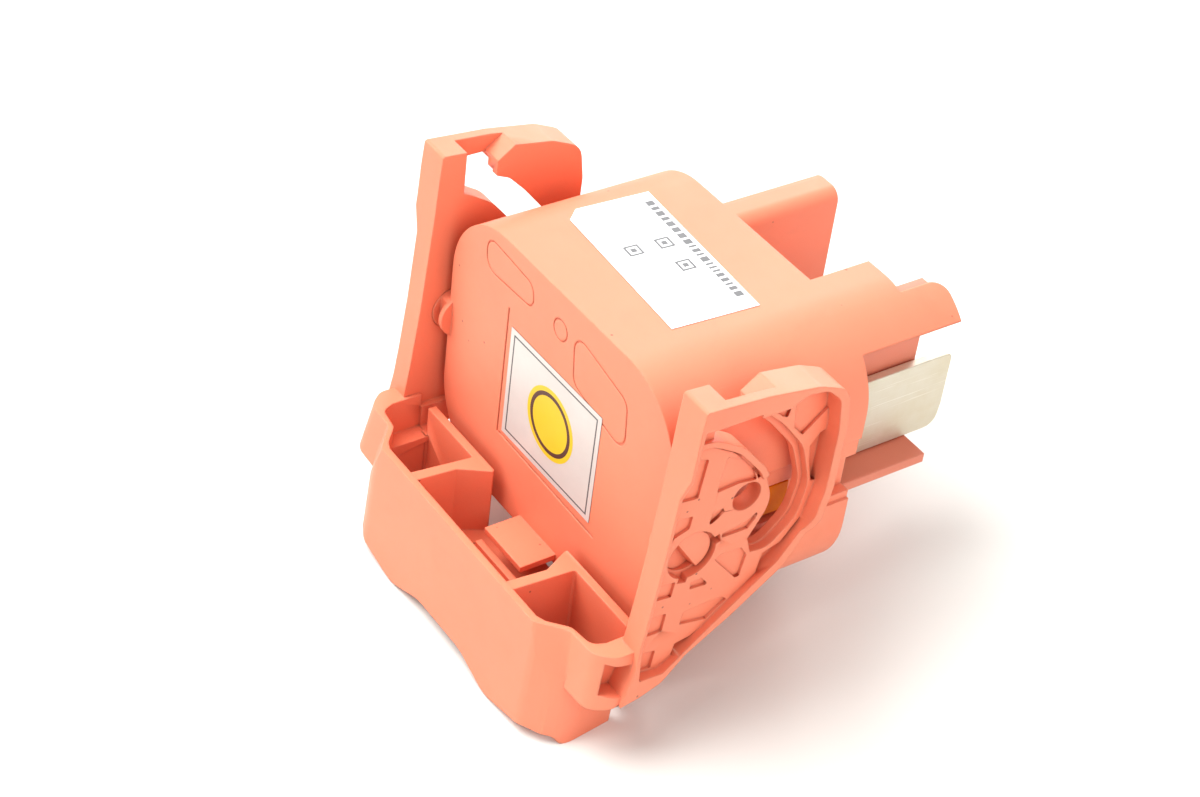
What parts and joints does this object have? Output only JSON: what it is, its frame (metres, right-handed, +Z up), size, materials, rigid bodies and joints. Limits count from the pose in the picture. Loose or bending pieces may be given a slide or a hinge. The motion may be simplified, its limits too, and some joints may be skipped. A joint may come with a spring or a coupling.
{
  "type": "high-voltage disconnect fuse plug",
  "caption": "Plug-in holder for a vehicle's high-voltage fuse: orange housing with flat blades and guards behind, and a swinging cam lever that draws it home.",
  "frame": {"origin": "on the plug axis, in the plane of the housing's rear rim", "axes": "+X to the right arm seen from the front, +Y the way the plug goes in, +Z up, away from the lever's crossbar"},
  "size_m": [0.0822, 0.0872, 0.0733],
  "materials": {
    "housing_plastic": "satin moulded",
    "carrier_plastic": "satin moulded",
    "lever_plastic": "satin moulded",
    "plated_copper": "tin plated, brushed by use",
    "fuse_silver": "rolled strip",
    "ceramic": "fired ceramic",
    "zinc_steel": "zinc plated",
    "amber_plastic": "moulded",
    "label_film": "printed film",
    "label_paper": "printed film"
  },
  "bodies": {
    "housing": {"housing_shell": "housing_plastic", "contact_carrier": "carrier_plastic", "carrier_screws": "zinc_steel", "blade_right": "plated_copper", "blade_left": "plated_copper", "fuse_tube": "ceramic", "fuse_terminal_right": "plated_copper", "fuse_terminal_left": "plated_copper", "fuse_element": "fuse_silver", "terminal_screw_right": "zinc_steel", "terminal_screw_left": "zinc_steel", "lock_washer_right": "zinc_steel", "lock_washer_left": "zinc_steel", "interlock_jumper": "plated_copper", "guide_insert_right": "amber_plastic", "guide_insert_left": "amber_plastic", "front_label": "label_film", "top_label": "label_paper"},
    "lever": {"lever": "lever_plastic"}
  },
  "joints": [
    {"name": "lever_swing", "type": "hinge", "parent": "housing", "child": "lever", "pos_m": [0, -0.0375, 0.0006], "axis": [-1, 0, 0], "range_deg": [0, 90]}
  ]
}
